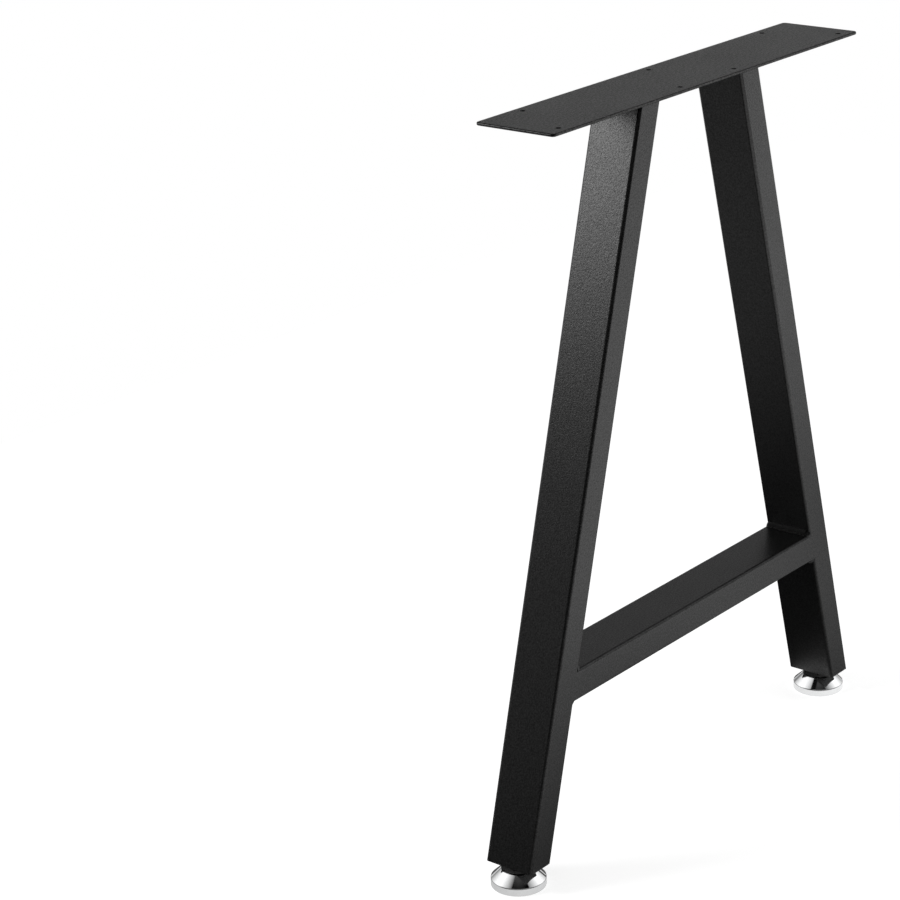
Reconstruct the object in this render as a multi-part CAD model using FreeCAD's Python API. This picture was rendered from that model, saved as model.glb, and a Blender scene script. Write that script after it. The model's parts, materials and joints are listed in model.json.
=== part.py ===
# Trestle table leg: an A-shaped frame of rectangular steel tube, welded under a long
# screw plate, with a levelling foot under each leg.
# Millimetres. +X runs along the screw plate, +Y across it, +Z up.
# The origin is on the floor, below the middle of the plate.
# "left" is the leg on the -X side and "right" the one on the +X side.
import FreeCAD, Part
import math
import os
from FreeCAD import Vector

# Overall height, floor to the top of the plate
total_height = 711.0

# Screw plate
plate_length = 490.0
plate_thickness = 3.0
plate_overhang = 16.0
plate_corner_radius = 4.0
plate_edge_radius = 1.2

# Screw holes in the plate: four in the front row, three in the back row
screw_hole_diameter = 5.0
hole_row_margin = 10.0
front_hole_end_margin = 20.0
front_hole_inner_spacing = 87.0
back_hole_end_margin = 54.5

# Rectangular tube, the same for the legs and the cross bar
tube_width = 52.0
tube_depth = 30.0
tube_wall = 1.5
tube_corner_radius = 3.0
smallest_inner_radius = 0.3

# The A of the frame
lean_angle = 15.0
leg_top_spacing = 157.6
bar_top_height = 200.0

# Weld beads
bar_weld_size = 5.2
bar_weld_bulge = 0.8
bar_weld_end_gap = 1.0
plate_weld_size = 3.0
plate_weld_toe = 0.4

# Closing plate and hexagon nut at the bottom of each leg
end_plate_thickness = 3.0
end_plate_hole_clearance = 0.5
nut_across_flats = 29.0
nut_height = 5.6
nut_face_diameter = 28.0
nut_chamfer_angle = 30.0
left_nut_turn = 24.6
right_nut_turn = 30.0

# Levelling foot: stud, chromed disc and glide pad
stud_diameter = 12.0
thread_clearance = 0.05
stud_wall_clearance = 3.0
stud_end_chamfer = 1.0
stud_head_diameter = 22.0
stud_head_thickness = 3.0
disc_diameter = 52.0
disc_rim_height = 7.4
disc_cone_rise = 9.1
disc_top_diameter = 32.0
disc_wall = 2.0
disc_rim_radius = 1.5
disc_edge_radius = 0.6
disc_nut_gap = 0.2
pad_drop = 0.5
pad_side_clearance = 0.3
pad_top_clearance = 0.2
pad_edge_chamfer = 0.8

# Heights, from the floor up
rim_bottom = pad_drop
rim_top = rim_bottom + disc_rim_height
disc_top = rim_top + disc_cone_rise
nut_bottom = disc_top + disc_nut_gap
leg_bottom = nut_bottom + nut_height
plate_bottom = total_height - plate_thickness
bar_bottom_height = bar_top_height - tube_depth

# Places along X
lean = math.radians(lean_angle)
foot_x = leg_top_spacing / 2 + (plate_bottom - leg_bottom) * math.tan(lean)
tube_level_depth = tube_depth / math.cos(lean)

# Sizes that follow from the ones above
plate_width = tube_width + 2 * plate_overhang
stud_radius = stud_diameter / 2
overrun = 2 * (tube_width + tube_depth)


def leg_centre_x(height):
    """X of the left leg's centre line at a height above the floor."""
    return -foot_x + (height - leg_bottom) * math.tan(lean)


def inner_face_x(height):
    """X of the left leg's inner face at a height above the floor."""
    return leg_centre_x(height) + tube_level_depth / 2


def rounded_rectangle(size_x, size_y, radius, centre=Vector(0, 0, 0)):
    """A closed flat wire: four straight sides joined by quarter circles."""
    corner_x = size_x / 2 - radius
    corner_y = size_y / 2 - radius
    corners = [(corner_x, corner_y), (-corner_x, corner_y), (-corner_x, -corner_y), (corner_x, -corner_y)]
    arcs = []
    for quarter, (x, y) in enumerate(corners):
        circle = Part.Circle(centre + Vector(x, y, 0), Vector(0, 0, 1), radius)
        arcs.append(Part.Arc(circle, quarter * math.pi / 2, (quarter + 1) * math.pi / 2))
    edges = []
    for quarter, arc in enumerate(arcs):
        following = arcs[(quarter + 1) % 4]
        edges.append(arc.toShape())
        edges.append(Part.makeLine(arc.EndPoint, following.StartPoint))
    return Part.Wire(edges)


def rounded_bar(size_x, size_y, radius, bottom, top):
    """An upright bar with rounded corners, centred on the Z axis."""
    outline = rounded_rectangle(size_x, size_y, radius, Vector(0, 0, bottom))
    return Part.Face(outline).extrude(Vector(0, 0, top - bottom))


def tube_bars(bottom, top):
    """The outside and the hollow of the tube, as two upright bars."""
    outside = rounded_bar(tube_depth, tube_width, tube_corner_radius, bottom, top)
    inner_radius = max(tube_corner_radius - tube_wall, smallest_inner_radius)
    hollow_depth = tube_depth - 2 * tube_wall
    hollow_width = tube_width - 2 * tube_wall
    hollow = rounded_bar(hollow_depth, hollow_width, inner_radius, bottom, top)
    return outside, hollow


def level_slab(bottom, top):
    """A slab much wider than the part, between two heights."""
    reach = 2 * (foot_x + overrun)
    return Part.makeBox(2 * reach, 2 * reach, top - bottom, Vector(-reach, -reach, bottom))


def leaned(shape):
    """Leans an upright shape to the left leg's angle and sets it on the leg's centre line."""
    shape.rotate(Vector(0, 0, 0), Vector(0, 1, 0), lean_angle)
    shape.translate(Vector(-foot_x, 0, leg_bottom))
    return shape


def left_leg_bars():
    """The outside and the hollow of the left leg, cut level at both ends."""
    length = (plate_bottom - leg_bottom) / math.cos(lean)
    slab = level_slab(leg_bottom, plate_bottom)
    outside, hollow = tube_bars(-overrun, length + overrun)
    return leaned(outside).common(slab), leaned(hollow).common(slab)


def for_side(left_shape, side):
    """The left leg's shape as it is, or its mirror image for the right leg."""
    if side == "left":
        return left_shape
    return left_shape.mirror(Vector(0, 0, 0), Vector(1, 0, 0))


def revolved(profile):
    """A solid turned about Z from (radius, height) points."""
    points = [Vector(radius, 0, height) for radius, height in profile]
    outline = Part.makePolygon(points + [points[0]])
    return Part.Face(outline).revolve(Vector(0, 0, 0), Vector(0, 0, 1), 360)


def ring_edges(solid, radius, height):
    """The solid's circular edges of one radius at one height."""
    found = []
    for edge in solid.Edges:
        curve = edge.Curve
        if isinstance(curve, Part.Circle) and abs(curve.Radius - radius) < 1e-6:
            if abs(curve.Center.z - height) < 1e-6:
                found.append(edge)
    return found


def screw_hole_places():
    """Centres of the screw holes on the plate."""
    row_y = plate_width / 2 - hole_row_margin
    front_outer_x = plate_length / 2 - front_hole_end_margin
    front_inner_x = front_hole_inner_spacing / 2
    back_outer_x = plate_length / 2 - back_hole_end_margin
    front = [(x, -row_y) for x in (-front_outer_x, -front_inner_x, front_inner_x, front_outer_x)]
    back = [(x, row_y) for x in (-back_outer_x, 0, back_outer_x)]
    return front + back


def make_top_plate():
    """Flat plate with rounded corners, softened edges and plain round screw holes."""
    outline = rounded_rectangle(plate_length, plate_width, plate_corner_radius, Vector(0, 0, plate_bottom))
    plate = Part.Face(outline).extrude(Vector(0, 0, plate_thickness))
    rims = [edge for edge in plate.Edges if abs(edge.BoundBox.ZLength) < 1e-6]
    plate = plate.makeFillet(plate_edge_radius, rims)
    for x, y in screw_hole_places():
        drill = Part.makeCylinder(screw_hole_diameter / 2, plate_thickness, Vector(x, y, plate_bottom))
        plate = plate.cut(drill)
    return plate


def make_leg_tube(side):
    """Leaning rectangular tube, cut level under the plate and above the foot."""
    outside, hollow = left_leg_bars()
    return for_side(outside.cut(hollow), side)


def leg_side_block():
    """Everything on the left of the left leg's inner face."""
    reach = total_height + overrun
    start = Vector(tube_depth / 2 - 2 * reach, -reach, -reach)
    return leaned(Part.makeBox(2 * reach, 2 * reach, 2 * reach, start))


def bar_between_legs(upright_bar):
    """Lays an upright bar along X at the cross bar's height."""
    upright_bar.rotate(Vector(0, 0, 0), Vector(0, 1, 0), 90)
    upright_bar.translate(Vector(0, 0, bar_top_height - tube_depth / 2))
    return upright_bar


def long_bar_outside():
    """The cross bar's outside, run on to the centre lines of both legs."""
    reach = -leg_centre_x(bar_top_height - tube_depth / 2)
    outside = tube_bars(-reach, reach)[0]
    return bar_between_legs(outside)


def make_cross_tube():
    """Level tube between the legs, its ends cut to the legs' inner faces."""
    reach = foot_x
    outside, hollow = tube_bars(-reach, reach)
    tube = bar_between_legs(outside).cut(bar_between_legs(hollow))
    block = leg_side_block()
    return tube.cut(block).cut(for_side(block, "right"))


def weld_prism(on_bar, on_leg, middle, inside):
    """A bead of weld across the tube, from its outline in the XZ plane."""
    start_y = -(tube_width / 2 - bar_weld_end_gap)
    corners = [Vector(x, start_y, z) for x, z in (on_bar, middle, on_leg)]
    bead_face = Part.Arc(corners[0], corners[1], corners[2]).toShape()
    back = [corners[2]] + [Vector(x, start_y, z) for x, z in inside] + [corners[0]]
    sides = Part.makePolygon(back)
    outline = Part.Wire([bead_face] + sides.Edges)
    return Part.Face(outline).extrude(Vector(0, -2 * start_y, 0))


def make_bar_weld_bead(side, place):
    """Fillet weld along the top ("upper") or the underside ("lower") of the cross bar's end."""
    if place == "upper":
        height = bar_top_height
        away = 1
    else:
        height = bar_bottom_height
        away = -1
    corner_x = inner_face_x(height)
    on_bar = (corner_x + bar_weld_size, height)
    on_leg = (corner_x + away * bar_weld_size * math.sin(lean), height + away * bar_weld_size * math.cos(lean))
    chord_x = on_bar[0] - on_leg[0]
    chord_z = on_leg[1] - on_bar[1]
    chord = math.hypot(chord_x, chord_z)
    middle_x = (on_bar[0] + on_leg[0]) / 2 + bar_weld_bulge * abs(chord_z) / chord
    middle_z = (on_bar[1] + on_leg[1]) / 2 + away * bar_weld_bulge * abs(chord_x) / chord
    sunk_x = corner_x - 2 * tube_corner_radius
    sunk_z = height - away * tube_corner_radius
    inside = [(sunk_x, on_leg[1]), (sunk_x, sunk_z), (on_bar[0], sunk_z)]
    bead = weld_prism(on_bar, on_leg, (middle_x, middle_z), inside)
    leg_outside = left_leg_bars()[0]
    return for_side(bead.cut(leg_outside).cut(long_bar_outside()), side)


def make_bar_weld_seam(side, place):
    """Flush seam that fills the leg's rounded corner beside the cross bar, "front" (-Y) or "back"."""
    leg_outside = left_leg_bars()[0]
    seams = long_bar_outside().common(leg_side_block()).cut(leg_outside)
    left_seams = [solid for solid in seams.Solids if solid.CenterOfMass.x < 0]
    if place == "front":
        seam = min(left_seams, key=lambda solid: solid.CenterOfMass.y)
    else:
        seam = max(left_seams, key=lambda solid: solid.CenterOfMass.y)
    return for_side(seam, side)


def make_plate_weld(side):
    """Fillet weld all round the top of a leg, under the plate."""
    sections = []
    for height, grow in ((plate_bottom, plate_weld_size), (plate_bottom - plate_weld_size, plate_weld_toe)):
        size_x = tube_level_depth + 2 * grow
        size_y = tube_width + 2 * grow
        centre = Vector(leg_centre_x(height), 0, height)
        sections.append(rounded_rectangle(size_x, size_y, tube_corner_radius + grow, centre))
    ring = Part.makeLoft(sections, True, True)
    leg_outside = left_leg_bars()[0]
    return for_side(ring.cut(leg_outside), side)


def make_end_plate(side):
    """Plate that closes the bottom of a leg, set flush inside the tube, with a hole for the stud."""
    leg_hollow = left_leg_bars()[1]
    plate = leg_hollow.common(level_slab(leg_bottom, leg_bottom + end_plate_thickness))
    hole_radius = stud_radius + end_plate_hole_clearance
    hole = Part.makeCylinder(hole_radius, end_plate_thickness, Vector(-foot_x, 0, leg_bottom))
    return for_side(plate.cut(hole), side)


def on_foot_axis(shape, side):
    """Moves a shape from the Z axis to the axis of one foot."""
    if side == "left":
        shape.translate(Vector(-foot_x, 0, 0))
    else:
        shape.translate(Vector(foot_x, 0, 0))
    return shape


def make_weld_nut(side, turn):
    """Hexagon nut with chamfered corners, under the closing plate, turned by an angle."""
    corner_radius = nut_across_flats / 2 / math.cos(math.radians(30))
    corners = []
    for step in range(7):
        angle = math.radians(turn + 60 * step)
        corners.append(Vector(corner_radius * math.cos(angle), corner_radius * math.sin(angle), nut_bottom))
    hexagon = Part.Face(Part.makePolygon(corners)).extrude(Vector(0, 0, nut_height))
    face_radius = nut_face_diameter / 2
    chamfer = (corner_radius - face_radius) * math.tan(math.radians(nut_chamfer_angle))
    envelope = revolved([
        (0, nut_bottom),
        (face_radius, nut_bottom),
        (corner_radius, nut_bottom + chamfer),
        (corner_radius, leg_bottom - chamfer),
        (face_radius, leg_bottom),
        (0, leg_bottom),
    ])
    bore = Part.makeCylinder(stud_radius + thread_clearance, nut_height, Vector(0, 0, nut_bottom))
    return on_foot_axis(hexagon.common(envelope).cut(bore), side)


def disc_inner_cone():
    """Where the disc's inner cone starts and ends: height at the side wall, radius at the top wall."""
    run = (disc_diameter - disc_top_diameter) / 2
    slope = disc_cone_rise / run
    drop = disc_wall * math.hypot(run, disc_cone_rise) / run
    shoulder = rim_top + disc_wall * slope - drop
    inner_top = disc_top - disc_wall
    top_radius = disc_diameter / 2 - disc_wall - (inner_top - shoulder) / slope
    return shoulder, top_radius


def make_foot_disc(side):
    """Chromed disc with an upright rim and a cone, hollow from below."""
    shoulder, top_radius = disc_inner_cone()
    outer_radius = disc_diameter / 2
    inner_radius = outer_radius - disc_wall
    hole_radius = stud_radius + thread_clearance
    inner_top = disc_top - disc_wall
    disc = revolved([
        (outer_radius, rim_bottom),
        (outer_radius, rim_top),
        (disc_top_diameter / 2, disc_top),
        (hole_radius, disc_top),
        (hole_radius, inner_top),
        (top_radius, inner_top),
        (inner_radius, shoulder),
        (inner_radius, rim_bottom),
    ])
    disc = disc.makeFillet(disc_rim_radius, ring_edges(disc, outer_radius, rim_top))
    edges = ring_edges(disc, outer_radius, rim_bottom)
    edges += ring_edges(disc, disc_top_diameter / 2, disc_top)
    return on_foot_axis(disc.makeFillet(disc_edge_radius, edges), side)


def make_foot_stud(side):
    """Threaded stud, drawn plain, with a flat head under the disc."""
    head_top = disc_top - disc_wall
    cavity_half = (tube_depth / 2 - tube_wall) / math.cos(lean)
    free_reach = (cavity_half - stud_radius - stud_wall_clearance) / math.tan(lean)
    stud_top = leg_bottom + free_reach
    stud = revolved([
        (0, head_top - stud_head_thickness),
        (stud_head_diameter / 2, head_top - stud_head_thickness),
        (stud_head_diameter / 2, head_top),
        (stud_radius, head_top),
        (stud_radius, stud_top - stud_end_chamfer),
        (stud_radius - stud_end_chamfer, stud_top),
        (0, stud_top),
    ])
    return on_foot_axis(stud, side)


def make_foot_pad(side):
    """Plastic glide pad that fills the hollow of the disc and stands a little below its rim."""
    shoulder, top_radius = disc_inner_cone()
    pad_radius = disc_diameter / 2 - disc_wall - pad_side_clearance
    boss_top = disc_top - disc_wall - stud_head_thickness - pad_top_clearance
    pad_top = shoulder - pad_side_clearance
    pad = revolved([
        (0, 0),
        (pad_radius - pad_edge_chamfer, 0),
        (pad_radius, pad_edge_chamfer),
        (pad_radius, pad_top),
        (stud_head_diameter / 2, pad_top),
        (stud_head_diameter / 2, boss_top),
        (0, boss_top),
    ])
    return on_foot_axis(pad, side)


def make_pieces():
    """Every piece of the part, by name."""
    nut_turns = {"left": left_nut_turn, "right": right_nut_turn}
    pieces = {"top_plate": make_top_plate(), "cross_tube": make_cross_tube()}
    for side in ("left", "right"):
        pieces[side + "_leg_tube"] = make_leg_tube(side)
        pieces[side + "_plate_weld"] = make_plate_weld(side)
        for place in ("upper", "lower"):
            pieces[side + "_bar_weld_" + place] = make_bar_weld_bead(side, place)
        for place in ("front", "back"):
            pieces[side + "_bar_weld_" + place] = make_bar_weld_seam(side, place)
        pieces[side + "_end_plate"] = make_end_plate(side)
        pieces[side + "_weld_nut"] = make_weld_nut(side, nut_turns[side])
        pieces[side + "_foot_disc"] = make_foot_disc(side)
        pieces[side + "_foot_stud"] = make_foot_stud(side)
        pieces[side + "_foot_pad"] = make_foot_pad(side)
    return pieces


def main():
    os.makedirs("parts", exist_ok=True)
    for name, shape in make_pieces().items():
        shape.exportStep("parts/" + name + ".step")
        print(f"{name}: {len(shape.Solids)} solid, {shape.Volume / 1000:.2f} cm3, valid {shape.isValid()}")
    print(f"feet {2 * foot_x:.1f} mm apart, legs end {leg_bottom:.1f} mm above the floor")


main()
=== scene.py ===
# %% [markdown]
# This is the dress of a trestle table leg: a black steel A-frame on two chromed levelling feet.
# The steel pieces come from the construction model at their real size and stay as they are.
# Blender adds what a construction model leaves plain: the grain of the coat, the weld beads,
# the turned and chromed discs and the thread of the feet. Lengths are in metres.

# %% Load the construction frame
import json
import math
import bpy
from mathutils import Matrix, Quaternion, Vector


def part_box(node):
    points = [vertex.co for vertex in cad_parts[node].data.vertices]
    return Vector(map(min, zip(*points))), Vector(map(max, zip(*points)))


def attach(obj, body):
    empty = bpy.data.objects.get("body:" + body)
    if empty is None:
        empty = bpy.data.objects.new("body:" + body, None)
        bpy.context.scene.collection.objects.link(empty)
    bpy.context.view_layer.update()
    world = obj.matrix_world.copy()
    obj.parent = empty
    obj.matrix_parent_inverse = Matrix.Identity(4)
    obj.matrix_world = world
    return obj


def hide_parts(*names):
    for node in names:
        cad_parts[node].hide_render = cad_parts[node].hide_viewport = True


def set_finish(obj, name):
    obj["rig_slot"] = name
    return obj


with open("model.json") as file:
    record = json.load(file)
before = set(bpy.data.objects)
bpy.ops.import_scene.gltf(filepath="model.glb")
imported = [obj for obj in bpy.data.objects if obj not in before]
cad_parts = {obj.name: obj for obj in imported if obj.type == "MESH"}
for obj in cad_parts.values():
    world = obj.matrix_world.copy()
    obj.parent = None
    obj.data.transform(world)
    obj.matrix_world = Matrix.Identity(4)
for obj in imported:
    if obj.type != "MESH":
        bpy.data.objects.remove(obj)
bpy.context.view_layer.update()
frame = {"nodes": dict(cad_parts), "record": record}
nodes = frame["nodes"]

# %% [markdown]
# The camera stands where the product picture was taken from: on the left, in front of the leg
# and well above it, with a long lens that keeps the legs nearly parallel. It is aimed at a point
# between the legs and turned a little about its own view, because the picture isn't quite level.

# %% Camera
camera_place = Vector((-2.0630, -1.4042, 1.2624))
camera_target = Vector((-0.3433, 0.0, 0.4519))
camera_roll = math.radians(-1.79)
camera_lens = 111.36
camera_sensor = 36.0


def add_camera():
    """A camera aimed at the target, then rolled about its own view axis."""
    data = bpy.data.cameras.new("product_camera")
    data.lens = camera_lens
    data.sensor_width = camera_sensor
    camera = bpy.data.objects.new("product_camera", data)
    bpy.context.scene.collection.objects.link(camera)
    aim = (camera_target - camera_place).to_track_quat("-Z", "Y")
    turn = Quaternion((0, 0, 1), camera_roll)
    camera.matrix_world = Matrix.Translation(camera_place) @ (aim @ turn).to_matrix().to_4x4()
    bpy.context.scene.camera = camera


add_camera()
print("camera to target:", round((camera_target - camera_place).length, 3), "m")

# %% [markdown]
# Everything new is modelled with Blender's own tools, and those act on all that is selected.
# The frame arrives selected, so each step first clears the selection and then picks its piece.
# Inside a piece, edges and faces are picked by their place, as a hand would click on them.

# %% Helpers for modelling


def pick(*pieces):
    """Deselects everything, then selects these pieces and makes the first one active."""
    bpy.ops.object.select_all(action="DESELECT")
    for piece in pieces:
        piece.select_set(True)
    bpy.context.view_layer.objects.active = pieces[0]


def start_piece(name):
    """Names the primitive that was just added, and its mesh."""
    piece = bpy.context.object
    piece.name = name
    piece.data.name = name
    return piece


def apply_modifier(piece, kind, **settings):
    """Adds a modifier with these settings and applies it."""
    pick(piece)
    modifier = piece.modifiers.new(kind.lower(), kind)
    for setting, value in settings.items():
        setattr(modifier, setting, value)
    bpy.ops.object.modifier_apply(modifier=modifier.name)


def settle(piece):
    """Puts the place, turn and scale of a piece into its mesh."""
    pick(piece)
    bpy.ops.object.transform_apply(location=True, rotation=True, scale=True)


def count(piece):
    """Triangles in a piece."""
    return sum(len(face.vertices) - 2 for face in piece.data.polygons)


print("selected at the start:", len(bpy.context.selected_objects))

# %% [markdown]
# A turned piece, such as a disc or a stud, is a profile spun about its axis. The profile starts
# as one point, a small plane merged to its middle, and is extruded from corner to corner. Spin
# leaves the last ring on the first one, so doubles are merged before the normals are set.

# %% Turned pieces
turn_steps = 128
seed_size = 0.001
merge_distance = 1e-6


def draw_profile(name, points):
    """An open outline in the XZ plane, extruded through (radius, height) points."""
    bpy.ops.object.select_all(action="DESELECT")
    bpy.ops.mesh.primitive_plane_add(size=seed_size)
    piece = start_piece(name)
    bpy.ops.object.mode_set(mode="EDIT")
    bpy.ops.mesh.select_mode(type="VERT")
    bpy.ops.mesh.select_all(action="SELECT")
    bpy.ops.mesh.merge(type="CENTER")
    here = Vector((points[0][0], 0, points[0][1]))
    bpy.ops.transform.translate(value=here)
    for radius, height in points[1:]:
        there = Vector((radius, 0, height))
        bpy.ops.mesh.extrude_region_move(TRANSFORM_OT_translate={"value": there - here})
        here = there
    return piece


def clean_shell():
    """In edit mode: merges doubles and turns all faces outwards."""
    bpy.ops.mesh.select_all(action="SELECT")
    bpy.ops.mesh.remove_doubles(threshold=merge_distance)
    bpy.ops.mesh.normals_make_consistent(inside=False)


def turned(name, points, closed=False):
    """A solid of revolution about the Z axis."""
    outline = points + points[:1] if closed else points
    piece = draw_profile(name, outline)
    bpy.ops.mesh.select_all(action="SELECT")
    bpy.ops.mesh.spin(steps=turn_steps, angle=2 * math.pi, center=(0, 0, 0), axis=(0, 0, 1))
    clean_shell()
    bpy.ops.object.mode_set(mode="OBJECT")
    return piece


print("steps in a turn:", turn_steps)

# %% [markdown]
# No turned edge is truly sharp. A ring of edges is found by its radius and height and bevelled,
# so that it catches a line of light, as a pressed or machined edge does.

# %% Rounded edges
ring_tolerance = 1e-5


def round_rings(piece, rings, radius, segments):
    """Bevels the circular edges that lie at these (radius, height) places."""
    pick(piece)
    bpy.ops.object.mode_set(mode="EDIT")
    bpy.ops.mesh.select_all(action="DESELECT")
    bpy.ops.object.mode_set(mode="OBJECT")
    for edge in piece.data.edges:
        ends = [piece.data.vertices[index].co for index in edge.vertices]
        level = abs(ends[0].z - ends[1].z) < merge_distance
        place = (ends[0].xy.length, ends[0].z)
        for ring in rings:
            if level and math.dist(place, ring) < ring_tolerance:
                edge.select = True
    bpy.ops.object.mode_set(mode="EDIT")
    bpy.ops.mesh.select_mode(type="EDGE")
    bpy.ops.mesh.bevel(offset=radius, segments=segments, profile=0.5)
    bpy.ops.object.mode_set(mode="OBJECT")


print("rings are found within:", ring_tolerance, "m")

# %% [markdown]
# Each foot stands on a chromed disc, pressed from sheet and polished: an upright rim, a cone
# and a flat top, hollow below. Chrome shows every facet, so the disc is spun with many steps.
# The bend from rim to cone gets a wide bevel, and the two sharper edges get a narrow one.

# %% Chromed discs
sides = ("left", "right")
disc_wall = 0.002
rim_height = 0.0074
disc_top_radius = 0.016
rim_bevel = 0.0007
rim_bevel_steps = 8
edge_bevel = 0.0004
edge_bevel_steps = 4
disc_smooth_angle = math.radians(20)
thread_radius = 0.006
stud_clearance = 0.00005


def foot_centre(side):
    """The axis of a foot, from the middle of its disc in the frame."""
    low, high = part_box(side + "_foot_disc")
    return (low + high) / 2


def disc_profile(side):
    """(radius, height) corners of a disc: outside from rim to top, then the hollow below."""
    low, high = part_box(side + "_foot_disc")
    outer = (high.x - low.x) / 2
    rim_top = low.z + rim_height
    slope = (high.z - rim_top) / (outer - disc_top_radius)
    shoulder = rim_top + disc_wall * slope - disc_wall * math.hypot(1, slope)
    ceiling = high.z - disc_wall
    ceiling_radius = outer - disc_wall - (ceiling - shoulder) / slope
    hole = thread_radius + stud_clearance
    outside = [(outer, low.z), (outer, rim_top), (disc_top_radius, high.z), (hole, high.z)]
    hollow = [
        (hole, ceiling),
        (ceiling_radius, ceiling),
        (outer - disc_wall, shoulder),
        (outer - disc_wall, low.z),
    ]
    return outside + hollow


def chrome_disc(side):
    """One disc, turned at the origin, its edges rounded, then moved to its foot."""
    profile = disc_profile(side)
    disc = turned(side + "_chrome_disc", profile, closed=True)
    round_rings(disc, profile[1:2], rim_bevel, rim_bevel_steps)
    round_rings(disc, [profile[0], profile[2]], edge_bevel, edge_bevel_steps)
    centre = foot_centre(side)
    disc.location = (centre.x, centre.y, 0)
    settle(disc)
    bpy.ops.object.shade_smooth_by_angle(angle=disc_smooth_angle)
    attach(disc, side + "_foot")
    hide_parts(side + "_foot_disc")
    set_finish(disc, "bright_chrome")
    return disc


discs = [chrome_disc(side) for side in sides]
print("disc triangles:", [count(disc) for disc in discs])

# %% [markdown]
# The foot screws into a nut, so its stud carries a real thread, 12 mm across with 1.75 mm from
# turn to turn. One tooth is drawn as a profile, with its corners at shares of the pitch, and
# wound up by the Screw modifier. The wound rod is open, so both ends are cut flat and filled.

# %% Threaded rod
thread_pitch = 0.00175
thread_depth = 0.6134 * thread_pitch
tooth_shares = (0.0, 0.25, 0.5625, 0.6875, 1.0)
thread_steps = 64


def thread_rod(name, bottom, top):
    """A right-handed thread between two heights, open at its ends."""
    root = thread_radius - thread_depth
    radii = (root, root, thread_radius, thread_radius, root)
    turns = math.ceil((top - bottom) / thread_pitch)
    outline = [(radius, bottom + share * thread_pitch) for radius, share in zip(radii, tooth_shares)]
    rod = draw_profile(name, outline)
    bpy.ops.object.mode_set(mode="OBJECT")
    apply_modifier(
        rod, "SCREW", axis="Z", angle=2 * math.pi, screw_offset=thread_pitch,
        iterations=turns, steps=thread_steps, render_steps=thread_steps, use_merge_vertices=True,
    )
    return rod


def close_rod(rod, bottom, top):
    """Cuts the rod flat at both heights and fills the cuts."""
    pick(rod)
    bpy.ops.object.mode_set(mode="EDIT")
    clean_shell()
    for height, way in ((bottom, -1), (top, 1)):
        bpy.ops.mesh.select_all(action="SELECT")
        bpy.ops.mesh.bisect(
            plane_co=(0, 0, height), plane_no=(0, 0, way), use_fill=True, clear_outer=True
        )
    clean_shell()
    bpy.ops.object.mode_set(mode="OBJECT")


print("thread depth:", round(1000 * thread_depth, 3), "mm")

# %% [markdown]
# The stud is the rod cut to a turned blank, which gives it its length and a chamfered tip, with
# a flat head below that holds the disc. The rod is made a little too long at both ends, so that
# the cut goes through whole turns of the thread.

# %% Threaded studs
head_radius = 0.011
head_thickness = 0.003
tip_chamfer = 0.001
stud_smooth_angle = math.radians(25)


def combine(piece, other, operation):
    """Booleans another shape into a piece, and deletes the other shape."""
    apply_modifier(piece, "BOOLEAN", operation=operation, object=other, solver="EXACT")
    bpy.data.objects.remove(other)


def threaded_stud(side):
    """A stud with a flat head under the disc and a thread up to its tip."""
    low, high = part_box(side + "_foot_stud")
    head_top = low.z + head_thickness
    spare = 2 * thread_pitch
    stud = thread_rod(side + "_threaded_stud", head_top - spare, high.z + spare)
    close_rod(stud, head_top - thread_pitch / 2, high.z + thread_pitch / 2)
    blank = turned("stud_blank", [
        (0, head_top - thread_pitch / 4),
        (thread_radius, head_top - thread_pitch / 4),
        (thread_radius, high.z - tip_chamfer),
        (thread_radius - tip_chamfer, high.z),
        (0, high.z),
    ])
    combine(stud, blank, "INTERSECT")
    head = turned("stud_head", [
        (0, low.z),
        (head_radius, low.z),
        (head_radius, head_top),
        (0, head_top),
    ])
    combine(stud, head, "UNION")
    centre = foot_centre(side)
    stud.location = (centre.x, centre.y, 0)
    settle(stud)
    bpy.ops.object.shade_smooth_by_angle(angle=stud_smooth_angle)
    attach(stud, side + "_foot")
    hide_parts(side + "_foot_stud")
    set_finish(stud, "zinc_steel")
    return stud


studs = [threaded_stud(side) for side in sides]
print("stud triangles:", [count(stud) for stud in studs])

# %% [markdown]
# A weld bead is a row of drops that froze one on another. One drop is a ball pressed flat along
# the seam, copied every pitch and joined. The Remesh modifier melts the row to one closed skin,
# and a little smoothing leaves shallow ripples, as weld under a thick coat shows them.

# %% Weld beads
drop_pitch = 0.0016
drop_segments = 24
drop_rings = 16
bead_voxel = 0.0004
smoothing_factor = 0.5
smoothing_rounds = 3


def weld_drop(name, radius, length):
    """One ball of weld, pressed along Y to a length."""
    bpy.ops.object.select_all(action="DESELECT")
    bpy.ops.mesh.primitive_uv_sphere_add(segments=drop_segments, ring_count=drop_rings, radius=radius)
    drop = start_piece(name)
    bpy.ops.object.mode_set(mode="EDIT")
    bpy.ops.mesh.select_all(action="SELECT")
    bpy.ops.transform.resize(value=(1, length / (2 * radius), 1))
    bpy.ops.object.mode_set(mode="OBJECT")
    return drop


def bead_of_drops(name, radius, length, places):
    """Copies a drop to (point, heading) places and melts the row into one bead."""
    first = weld_drop(name, radius, length)
    row = [first]
    for point, heading in places:
        drop = first.copy()
        drop.data = first.data.copy()
        bpy.context.scene.collection.objects.link(drop)
        drop.location = point
        drop.rotation_euler = (0, 0, heading)
        row.append(drop)
    pick(*row[1:])
    bpy.ops.object.join()
    bead = bpy.context.object
    bpy.data.objects.remove(first)
    bead.name = name
    settle(bead)
    apply_modifier(bead, "REMESH", mode="VOXEL", voxel_size=bead_voxel)
    apply_modifier(bead, "SMOOTH", factor=smoothing_factor, iterations=smoothing_rounds)
    return bead


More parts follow.
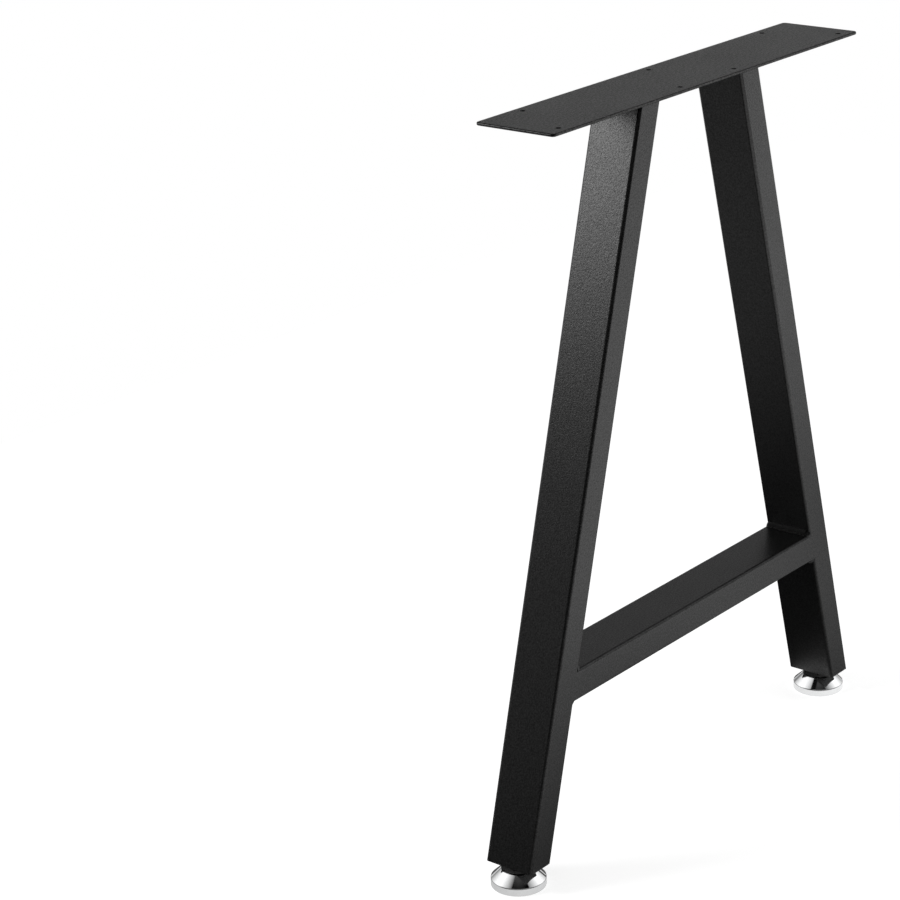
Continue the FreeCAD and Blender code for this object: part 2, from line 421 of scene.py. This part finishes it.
def cut_flat(piece, point, away):
    """Cuts off what lies beyond a plane and fills the cut."""
    pick(piece)
    bpy.ops.object.mode_set(mode="EDIT")
    bpy.ops.mesh.select_all(action="SELECT")
    bpy.ops.mesh.bisect(plane_co=point, plane_no=away, use_fill=True, clear_outer=True)
    bpy.ops.object.mode_set(mode="OBJECT")


print("weld drops:", 1000 * drop_pitch, "mm apart")

# %% [markdown]
# Above and below each end of the cross bar a fillet weld fills the corner to the leg. Its drops
# are large balls whose centres lie inside the steel, so that only a low crown stands out. Two
# flat cuts then leave the bead a little over a millimetre inside each wall, as real weld bites
# into the steel.

# %% Cross bar welds
lean = math.radians(15)
bar_weld_size = 0.0052
bar_weld_crown = 0.0008
bar_weld_drop_length = 0.0095
bar_weld_inset = 0.0045
weld_depth = 0.0012
bead_smooth_angle = math.radians(40)


def bar_corner(side, place):
    """The corner between the leg's inner face and the bar: a point, and a direction along each."""
    bar_low, bar_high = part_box("cross_tube")
    weld_low, weld_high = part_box(f"{side}_bar_weld_{place}")
    inwards = 1 if side == "left" else -1
    bar_end = weld_high.x if side == "left" else weld_low.x
    height = bar_high.z if place == "upper" else bar_low.z
    upwards = 1 if place == "upper" else -1
    corner = Vector((bar_end - inwards * bar_weld_size, 0, height))
    along_leg = Vector((inwards * upwards * math.sin(lean), 0, upwards * math.cos(lean)))
    return corner, Vector((inwards, 0, 0)), along_leg


def bar_weld(side, place):
    """One fillet bead across the bar's end."""
    corner, along_bar, along_leg = bar_corner(side, place)
    bisector = (along_bar + along_leg).normalized()
    half_chord = bar_weld_size * (along_bar - along_leg).length / 2
    chord_distance = bar_weld_size * (along_bar + along_leg).length / 2
    radius = (half_chord ** 2 + bar_weld_crown ** 2) / (2 * bar_weld_crown)
    centre = corner + bisector * (chord_distance + bar_weld_crown - radius)
    low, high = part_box("cross_tube")
    reach = (high.y - low.y) / 2 - bar_weld_inset
    steps = round(2 * reach / drop_pitch)
    offsets = [reach * (2 * step / steps - 1) for step in range(steps + 1)]
    places = [(centre + Vector((0, offset, 0)), 0.0) for offset in offsets]
    bead = bead_of_drops(f"{side}_{place}_bar_bead", radius, bar_weld_drop_length, places)
    leg_normal = Vector((along_leg.z, 0, -along_leg.x))
    if leg_normal.dot(along_bar) < 0:
        leg_normal = -leg_normal
    bar_normal = Vector((0, 0, 1 if place == "upper" else -1))
    cut_flat(bead, corner - bar_normal * weld_depth, -bar_normal)
    cut_flat(bead, corner - leg_normal * weld_depth, -leg_normal)
    bpy.ops.object.shade_smooth_by_angle(angle=bead_smooth_angle)
    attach(bead, "frame")
    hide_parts(f"{side}_bar_weld_{place}")
    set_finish(bead, "black_coat")
    return bead


beads = [bar_weld(side, place) for side in sides for place in ("upper", "lower")]
print("bar bead triangles:", [count(bead) for bead in beads])

# %% [markdown]
# The weld under the screw plate runs all round the top of each leg. Its drops are smaller, with
# their centres just outside the corner, and follow a rounded rectangle that steps along four
# straight sides and four quarter circles, each drop turned to face along the seam.

# %% Screw plate welds
plate_weld_radius = 0.0019
plate_weld_offset = 0.0011
plate_weld_drop_length = 0.0042
tube_corner = 0.003


def ring_places(centre, size_x, size_y, corner, pitch):
    """(point, heading) along a rounded rectangle, about a pitch apart."""
    places = []
    half_x = size_x / 2 - corner
    half_y = size_y / 2 - corner
    middles = [(half_x, half_y), (-half_x, half_y), (-half_x, -half_y), (half_x, -half_y)]
    for quarter, (x, y) in enumerate(middles):
        start = quarter * math.pi / 2
        arc_steps = max(2, round(corner * math.pi / 2 / pitch))
        for step in range(arc_steps):
            angle = start + step / arc_steps * math.pi / 2
            point = centre + Vector((x + corner * math.cos(angle), y + corner * math.sin(angle), 0))
            places.append((point, angle))
        angle = start + math.pi / 2
        out_x = corner * math.cos(angle)
        out_y = corner * math.sin(angle)
        next_x, next_y = middles[(quarter + 1) % 4]
        first = centre + Vector((x + out_x, y + out_y, 0))
        last = centre + Vector((next_x + out_x, next_y + out_y, 0))
        side_steps = round((last - first).length / pitch)
        for step in range(side_steps):
            places.append((first.lerp(last, step / side_steps), angle))
    return places


def plate_weld(side):
    """The ring of weld between a leg's top and the screw plate."""
    low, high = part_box(side + "_plate_weld")
    tube_low, tube_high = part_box("cross_tube")
    width = tube_high.y - tube_low.y
    depth = (tube_high.z - tube_low.z) / math.cos(lean)
    leg_top_x = (low.x + high.x) / 2
    centre = Vector((leg_top_x, 0, high.z - plate_weld_offset))
    places = ring_places(
        centre, depth + 2 * plate_weld_offset, width + 2 * plate_weld_offset,
        tube_corner + plate_weld_offset, drop_pitch,
    )
    bead = bead_of_drops(side + "_plate_bead", plate_weld_radius, plate_weld_drop_length, places)
    bpy.ops.object.shade_smooth()
    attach(bead, "frame")
    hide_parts(side + "_plate_weld")
    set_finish(bead, "black_coat")
    return bead


beads += [plate_weld(side) for side in sides]
print("all bead triangles:", [count(bead) for bead in beads])

# %% [markdown]
# Powder coat is a paint that is sprayed on dry and melts into a skin of fine lumps. A node group
# makes such lumps from two sizes of noise, which also suit metal and plastic at another size.
# It gives their height, a mask of the lumps and a mask of much wider patches. The lumps' noise
# stays near its middle value, so their mask is stretched over that middle part alone.

# %% Node group for a fine grain
group_inputs = {"Grain per Metre": 700.0, "Fine Share": 0.35, "Patch per Metre": 25.0}
lump_detail = 1.5
lump_roughness = 0.5
speck_fineness = 2.7
speck_detail = 1.0
patch_detail = 2.0
mask_reach = (0.35, 0.65)


def link(tree, source, target):
    """Joins an output to an input."""
    tree.links.new(source, target)


def build_grain_group():
    """Lumps from a coarse and a fine noise: their height, their mask and a mask of wide patches."""
    group = bpy.data.node_groups.new("moulded_grain", "ShaderNodeTree")
    for name, value in group_inputs.items():
        socket = group.interface.new_socket(name, in_out="INPUT", socket_type="NodeSocketFloat")
        socket.default_value = value
    for name in ("Height", "Grain Mask", "Patch Mask"):
        group.interface.new_socket(name, in_out="OUTPUT", socket_type="NodeSocketFloat")
    inputs = group.nodes.new("NodeGroupInput")
    outputs = group.nodes.new("NodeGroupOutput")
    place = group.nodes.new("ShaderNodeTexCoord")
    lumps = group.nodes.new("ShaderNodeTexNoise")
    lumps.inputs["Detail"].default_value = lump_detail
    lumps.inputs["Roughness"].default_value = lump_roughness
    link(group, place.outputs["Object"], lumps.inputs["Vector"])
    link(group, inputs.outputs["Grain per Metre"], lumps.inputs["Scale"])
    finer = group.nodes.new("ShaderNodeMath")
    finer.operation = "MULTIPLY"
    finer.inputs[1].default_value = speck_fineness
    link(group, inputs.outputs["Grain per Metre"], finer.inputs[0])
    specks = group.nodes.new("ShaderNodeTexNoise")
    specks.inputs["Detail"].default_value = speck_detail
    link(group, place.outputs["Object"], specks.inputs["Vector"])
    link(group, finer.outputs["Value"], specks.inputs["Scale"])
    blend = group.nodes.new("ShaderNodeMix")
    blend.data_type = "FLOAT"
    link(group, inputs.outputs["Fine Share"], blend.inputs["Factor"])
    link(group, lumps.outputs["Fac"], blend.inputs["A"])
    link(group, specks.outputs["Fac"], blend.inputs["B"])
    patches = group.nodes.new("ShaderNodeTexNoise")
    patches.inputs["Detail"].default_value = patch_detail
    link(group, place.outputs["Object"], patches.inputs["Vector"])
    link(group, inputs.outputs["Patch per Metre"], patches.inputs["Scale"])
    link(group, blend.outputs["Result"], outputs.inputs["Height"])
    stretch = group.nodes.new("ShaderNodeMapRange")
    stretch.inputs["From Min"].default_value = mask_reach[0]
    stretch.inputs["From Max"].default_value = mask_reach[1]
    link(group, blend.outputs["Result"], stretch.inputs["Value"])
    link(group, stretch.outputs["Result"], outputs.inputs["Grain Mask"])
    link(group, patches.outputs["Fac"], outputs.inputs["Patch Mask"])
    return group


grain_group = build_grain_group()
print("group sockets:", [item.name for item in grain_group.interface.items_tree])

# %% [markdown]
# A finish starts as a Principled shader with the grain group beside it. What is the same all
# over is set on the shader itself. Only what changes over the surface is linked: the colour
# between two close tones, the roughness within a range, the bump, and the strength of a clear
# skin where the finish has one.

# %% Helper for finishes


def new_finish(
    name, grain, fine, patch, colours, roughness, bump_height, skin=None, **shader_values
):
    """A Principled material that the grain group varies over its surface."""
    material = bpy.data.materials.new(name)
    material.use_nodes = True
    tree = material.node_tree
    shader = tree.nodes["Principled BSDF"]
    for socket, value in shader_values.items():
        shader.inputs[socket.replace("_", " ")].default_value = value
    group = tree.nodes.new("ShaderNodeGroup")
    group.node_tree = grain_group
    group.inputs["Grain per Metre"].default_value = grain
    group.inputs["Fine Share"].default_value = fine
    group.inputs["Patch per Metre"].default_value = patch
    tones = tree.nodes.new("ShaderNodeMix")
    tones.data_type = "RGBA"
    tones.inputs["A"].default_value = (*colours[0], 1)
    tones.inputs["B"].default_value = (*colours[1], 1)
    link(tree, group.outputs["Grain Mask"], tones.inputs["Factor"])
    link(tree, tones.outputs["Result"], shader.inputs["Base Color"])
    gloss = tree.nodes.new("ShaderNodeMapRange")
    gloss.inputs["To Min"].default_value = roughness[0]
    gloss.inputs["To Max"].default_value = roughness[1]
    link(tree, group.outputs["Patch Mask"], gloss.inputs["Value"])
    link(tree, gloss.outputs["Result"], shader.inputs["Roughness"])
    if skin:
        coverage = tree.nodes.new("ShaderNodeMapRange")
        coverage.inputs["To Min"].default_value = skin[0]
        coverage.inputs["To Max"].default_value = skin[1]
        link(tree, group.outputs["Grain Mask"], coverage.inputs["Value"])
        link(tree, coverage.outputs["Result"], shader.inputs["Coat Weight"])
    bump = tree.nodes.new("ShaderNodeBump")
    bump.inputs["Distance"].default_value = bump_height
    link(tree, group.outputs["Height"], bump.inputs["Height"])
    link(tree, bump.outputs["Normal"], shader.inputs["Normal"])
    return material


print("grain group:", grain_group.name)

# %% [markdown]
# The frame's coat is nearly black, so the eye reads it by its sheen: lamps and floor mirrored
# softly by a skin of fine lumps. The colour stays very dark and the roughness is middling. The
# clear skin is stronger on the high lumps than between them, which gives the coat its speckle.
# The screw plate has a duller finish of its own, with a coarser grain.

# %% Finishes of the coat, the chrome, the zinc and the pad
black_coat = new_finish(
    "black_powder_coat", grain=650, fine=0.35, patch=18,
    colours=((0.0004, 0.0004, 0.0004), (0.004, 0.004, 0.0041)), roughness=(0.28, 0.38),
    bump_height=0.00024, skin=(0.06, 0.64), Coat_Roughness=0.33, Specular_IOR_Level=0.32,
)
plate_coat = new_finish(
    "plate_powder_coat", grain=460, fine=0.5, patch=18,
    colours=((0.0004, 0.0004, 0.0004), (0.004, 0.004, 0.0041)), roughness=(0.28, 0.38),
    bump_height=0.0004, skin=(0.0, 0.9), Coat_Roughness=0.33, Specular_IOR_Level=0.16,
)
bright_chrome = new_finish(
    "polished_chrome", grain=180, fine=0.5, patch=60,
    colours=((0.86, 0.865, 0.87), (0.90, 0.905, 0.91)), roughness=(0.05, 0.11),
    bump_height=0.000004, Metallic=1.0,
)
zinc_steel = new_finish(
    "zinc_plate", grain=1500, fine=0.4, patch=90,
    colours=((0.52, 0.53, 0.55), (0.64, 0.65, 0.66)), roughness=(0.24, 0.38),
    bump_height=0.00002, Metallic=1.0,
)
pad_plastic = new_finish(
    "glide_pad_plastic", grain=1200, fine=0.4, patch=60,
    colours=((0.50, 0.50, 0.49), (0.58, 0.58, 0.57)), roughness=(0.45, 0.6),
    bump_height=0.00005,
)
finishes = {
    "black_coat": black_coat,
    "bright_chrome": bright_chrome,
    "zinc_steel": zinc_steel,
    "pad_plastic": pad_plastic,
}
print("finishes:", [material.name for material in (*finishes.values(), plate_coat)])

# %% [markdown]
# The record says which slot each node takes its finish from, so a loop can dress the whole
# frame, and the new pieces take theirs from the slot that they were given. The screw plate is
# then dressed once more, in its own finish.

# %% Dress every piece


def dress(piece, material):
    """Puts one material on all of a piece's slots, or on a new one."""
    if piece.material_slots:
        for material_slot in piece.material_slots:
            material_slot.material = material
    else:
        piece.data.materials.append(material)


for subpart in frame["record"]["subparts"]:
    dress(nodes[subpart["node"]], finishes[subpart["material_slot"]])
dress(nodes["top_plate"], plate_coat)
for piece in discs + studs + beads:
    dress(piece, finishes[piece["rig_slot"]])
print("dressed:", len(nodes) + len(discs + studs + beads))

# %% [markdown]
# The floor and the studio around it look different from place to place, and to a mirror and to
# the camera. A few math nodes can draw that, from how far a point reaches along a direction or
# lies from a centre, and from the kind of ray. Each helper adds one node, links it and gives
# back its output.

# %% Helpers for patterns drawn by place


def scalar(tree, operation, first, second, clamp=False):
    """A math node between an output and another output or a number."""
    node = tree.nodes.new("ShaderNodeMath")
    node.operation = operation
    node.use_clamp = clamp
    link(tree, first, node.inputs[0])
    if isinstance(second, (int, float)):
        node.inputs[1].default_value = second
    else:
        link(tree, second, node.inputs[1])
    return node.outputs["Value"]


def ramp(tree, source, from_range, to_range):
    """A smooth change from one value to another."""
    node = tree.nodes.new("ShaderNodeMapRange")
    node.interpolation_type = "SMOOTHSTEP"
    node.inputs["From Min"].default_value = from_range[0]
    node.inputs["From Max"].default_value = from_range[1]
    node.inputs["To Min"].default_value = to_range[0]
    node.inputs["To Max"].default_value = to_range[1]
    link(tree, source, node.inputs["Value"])
    return node.outputs["Result"]


def along(tree, source, direction):
    """How far a vector reaches along a direction."""
    node = tree.nodes.new("ShaderNodeVectorMath")
    node.operation = "DOT_PRODUCT"
    node.inputs[1].default_value = direction
    link(tree, source, node.inputs[0])
    return node.outputs["Value"]


def distance_from(tree, source, point):
    """How far a vector's end lies from a point."""
    node = tree.nodes.new("ShaderNodeVectorMath")
    node.operation = "DISTANCE"
    node.inputs[1].default_value = point
    link(tree, source, node.inputs[0])
    return node.outputs["Value"]


def seen_directly(tree, path):
    """One for rays from the camera, also through glass, and zero for all others."""
    rays = (path.outputs["Is Camera Ray"], path.outputs["Is Transmission Ray"])
    return scalar(tree, "ADD", *rays, clamp=True)


print("helpers:", [helper.__name__ for helper in (scalar, ramp, along, distance_from, seen_directly)])

# %% [markdown]
# The leg stands on a pale floor in a white studio. The camera sees the floor lit like any matt
# surface, with a little glow that lifts it to white and leaves the soft shadow in it. Mirror
# rays see no lit floor but a painted glow: dim, bright towards the front, with a pale patch at
# each foot and three more around the leg. These painted reflections give the narrow faces and
# the back their sheen, and the dim glow is painted shade that leaves the outer face dark at its
# foot.

# %% Floor
floor_centre = (0.75, -0.3, 0.0)
floor_size = 3.2
floor_cells = 4
floor_colour = 0.82
floor_roughness = 0.9
floor_glow = 0.62
painted_reflection_heading = (-0.2, -0.98, 0.0)
painted_reflection_ramp = (-0.05, 0.55)
painted_reflection_range = (0.04, 1.3)
# Patches of painted reflection, seen by mirror rays alone: one at each foot for the chrome rims, three
# beside and behind the leg for the coat.
foot_reflection_ramp = (0.041, 0.048)
foot_reflection_strengths = {"left": 0.5, "right": 0.75}
back_reflection_patch = ((-0.35, 0.5, 0.0), (0.15, 0.5), 0.35)
right_reflection_patch = ((0.45, -0.15, 0.0), (0.1, 0.35), 0.3)
rear_reflection_patch = ((0.45, 1.15, 0.0), (0.2, 0.9), 0.6)


def painted_floor_reflection(tree):
    """The painted reflection: how brightly each place of the floor glows for mirror rays alone."""
    place = tree.nodes.new("ShaderNodeTexCoord").outputs["Object"]
    forwards = along(tree, place, painted_reflection_heading)
    strength = ramp(tree, forwards, painted_reflection_ramp, painted_reflection_range)
    patches = [back_reflection_patch, right_reflection_patch, rear_reflection_patch]
    for side in sides:
        centre = foot_centre(side)
        patches.append(((centre.x, centre.y, 0.0), foot_reflection_ramp, foot_reflection_strengths[side]))
    # Each patch adds painted glow to the floor that mirror rays see.
    for centre, reach, brightness in patches:
        patch = ramp(tree, distance_from(tree, place, centre), reach, (brightness, 0.0))
        strength = scalar(tree, "ADD", strength, patch)
    return strength


def floor_material():
    """Pale and matt with a glow for the camera, and a painted glow that only mirror rays see."""
    material = bpy.data.materials.new("pale_floor")
    material.use_nodes = True
    tree = material.node_tree
    shader = tree.nodes["Principled BSDF"]
    shader.inputs["Base Color"].default_value = (floor_colour, floor_colour, floor_colour, 1)
    shader.inputs["Roughness"].default_value = floor_roughness
    shader.inputs["Specular IOR Level"].default_value = 0.0
    shader.inputs["Emission Color"].default_value = (1, 1, 1, 1)
    path = tree.nodes.new("ShaderNodeLightPath")
    glow = scalar(tree, "MULTIPLY", seen_directly(tree, path), floor_glow)
    link(tree, glow, shader.inputs["Emission Strength"])
    # Mirror rays get this emission instead of the lit floor: a painted reflection, dim as painted
    # shade.
    mirrored = tree.nodes.new("ShaderNodeEmission")
    link(tree, painted_floor_reflection(tree), mirrored.inputs["Strength"])
    choice = tree.nodes.new("ShaderNodeMixShader")
    link(tree, path.outputs["Is Glossy Ray"], choice.inputs["Fac"])
    link(tree, shader.outputs["BSDF"], choice.inputs[1])
    link(tree, mirrored.outputs["Emission"], choice.inputs[2])
    link(tree, choice.outputs["Shader"], tree.nodes["Material Output"].inputs["Surface"])
    return material


def add_floor():
    """A square of floor, lit and seen but no part of the object."""
    bpy.ops.object.select_all(action="DESELECT")
    bpy.ops.mesh.primitive_grid_add(
        x_subdivisions=floor_cells, y_subdivisions=floor_cells, size=floor_size, location=floor_centre
    )
    floor = start_piece("floor")
    settle(floor)
    dress(floor, floor_material())


add_floor()
print("floor:", floor_size, "m square")

# %% [markdown]
# The world is white where the camera sees it. Mirror rays see a studio painted into the world
# instead, which shows only in reflections: a white wall behind the object that dims upwards, a
# fainter wall in front of it and a faint ceiling. Between these it is dark, and that painted
# shade in the reflections draws the thin dark lines along the tubes' rounded corners. For plain
# light the world is a dim even fill.

# %% World
fill_strength = 0.45
wall_direction = (0.66, 0.75, 0.0)
wall_ramp = (-0.3, 0.2)
wall_top_ramp = (-0.03, 0.14)
wall_top_range = (1.0, 0.23)
front_wall_ramp = (0.1, 0.6)
front_wall_glow = 0.2
front_wall_bottom = (0.08, 0.3)
front_wall_top = (0.6, 0.85)
ceiling_ramp = (0.85, 0.97)
ceiling_glow = 0.05


def painted_studio_reflection(tree):
    """The painted studio reflection: how bright a mirror sees each direction."""
    heading = tree.nodes.new("ShaderNodeTexCoord").outputs["Generated"]
    height = along(tree, heading, (0, 0, 1))
    wall = ramp(tree, along(tree, heading, wall_direction), wall_ramp, (0.0, 1.0))
    wall = scalar(tree, "MULTIPLY", wall, ramp(tree, height, wall_top_ramp, wall_top_range))
    front_direction = [-part for part in wall_direction]
    front = ramp(tree, along(tree, heading, front_direction), front_wall_ramp, (0.0, front_wall_glow))
    front = scalar(tree, "MULTIPLY", front, ramp(tree, height, front_wall_bottom, (0.0, 1.0)))
    front = scalar(tree, "MULTIPLY", front, ramp(tree, height, front_wall_top, (1.0, 0.0)))
    ceiling = ramp(tree, height, ceiling_ramp, (0.0, ceiling_glow))
    return scalar(tree, "ADD", scalar(tree, "ADD", wall, front), ceiling)


def build_world():
    """White for the camera, the painted studio reflection for mirror rays and an even fill for all
    else.
    """
    world = bpy.data.worlds.new("studio")
    world.use_nodes = True
    tree = world.node_tree
    tree.nodes.clear()
    path = tree.nodes.new("ShaderNodeLightPath")
    by_mirror = tree.nodes.new("ShaderNodeMix")
    by_mirror.data_type = "FLOAT"
    by_mirror.inputs["A"].default_value = fill_strength
    link(tree, path.outputs["Is Glossy Ray"], by_mirror.inputs["Factor"])
    # Mirror rays see the painted studio; its dark gaps are painted shade in the reflections.
    link(tree, painted_studio_reflection(tree), by_mirror.inputs["B"])
    by_camera = tree.nodes.new("ShaderNodeMix")
    by_camera.data_type = "FLOAT"
    by_camera.inputs["B"].default_value = 1.0
    link(tree, seen_directly(tree, path), by_camera.inputs["Factor"])
    link(tree, by_mirror.outputs["Result"], by_camera.inputs["A"])
    background = tree.nodes.new("ShaderNodeBackground")
    background.inputs["Color"].default_value = (1, 1, 1, 1)
    output = tree.nodes.new("ShaderNodeOutputWorld")
    link(tree, by_camera.outputs["Result"], background.inputs["Strength"])
    link(tree, background.outputs["Background"], output.inputs["Surface"])
    bpy.context.scene.world = world


build_world()
print("world:", bpy.context.scene.world.name)

# %% [markdown]
# An area lamp's power spreads over its face, so a larger lamp of the same power looks dimmer.
# In a mirror its brightness counts, so the helper takes that and works out the power. A narrow
# spread packs the light into a smaller cone, and the gain allows for it.

# %% Helpers for lamps
full_spread = 180.0


def add_softbox(name, shape, place, target, size, radiance, spread=full_spread):
    """A lamp facing a target. Radiance is what a mirror sees at its middle, where 1 is white."""
    data = bpy.data.lights.new(name, "AREA")
    data.shape = shape
    data.size = size
    area = size * size if shape == "SQUARE" else math.pi * size * size / 4
    half_spread = math.radians(spread / 2)
    gain = 1.0
    if spread < full_spread:
        gain = math.tan(half_spread) / (math.tan(half_spread) - half_spread)
    data.energy = radiance * math.pi * area / gain
    data.spread = math.radians(spread)
    lamp = bpy.data.objects.new(name, data)
    bpy.context.scene.collection.objects.link(lamp)
    lamp.location = place
    lamp.rotation_euler = (Vector(target) - Vector(place)).to_track_quat("-Z", "Y").to_euler()
    lamp.visible_camera = False
    return lamp


def link_light(lamp, pieces, state):
    """Lets a lamp light only these pieces ("INCLUDE") or all but these ("EXCLUDE")."""
    receivers = bpy.data.collections.new(lamp.name + "_receivers")
    for piece in pieces:
        receivers.objects.link(piece)
    for entry in receivers.collection_objects:
        entry.light_linking.link_state = state
    lamp.light_linking.receiver_collection = receivers


print("full spread:", full_spread, "degrees")

# %% [markdown]
# Two softboxes light the coat. The brighter one stands behind the object on the left, higher
# than the plate, so the outer face of the near leg fades from a bright top to a dark foot. The
# weld beads are left out of both, because their round backs would mirror them as bright strips.
# Two very large lamps, left and right above, are there for the chromed discs alone, by light
# linking. Between them stays a dark gap overhead, and the front of each cone mirrors it as a
# dark band.

# %% Lamps
coat_lamp_places = {
    "softbox_left": ((-1.04, 0.85, 1.02), (-0.1, 0.0, 0.65), 0.5, 9.5),
    "softbox_right": ((1.1, -1.1, 1.2), (0.0, 0.0, 0.2), 0.8, 1.6),
}
chrome_lamp_directions = {
    "chrome_left": Vector((-0.300, 0.730, 0.614)),
    "chrome_right": Vector((0.690, -0.427, 0.583)),
}
chrome_lamp_distance = 2.5
chrome_lamp_size = 5.0
chrome_lamp_radiance = 1.15
chrome_lamp_spread = 95.0

for name, (place, target, size, radiance) in coat_lamp_places.items():
    lamp = add_softbox(name, "SQUARE", place, target, size, radiance)
    link_light(lamp, discs + beads, "EXCLUDE")
for name, direction in chrome_lamp_directions.items():
    place = direction * chrome_lamp_distance
    lamp = add_softbox(
        name, "DISK", place, (0.0, 0.0, 0.0), chrome_lamp_size, chrome_lamp_radiance, chrome_lamp_spread
    )
    link_light(lamp, discs, "INCLUDE")
print("lamps:", len(bpy.data.lights))

# %% [markdown]
# The colours are meant to come out as they are written, with white as white. The Standard view
# transform does that. A filmic one would grey the white and lift the black.

# %% Colour management
bpy.context.scene.view_settings.view_transform = "Standard"
print("view transform:", bpy.context.scene.view_settings.view_transform)
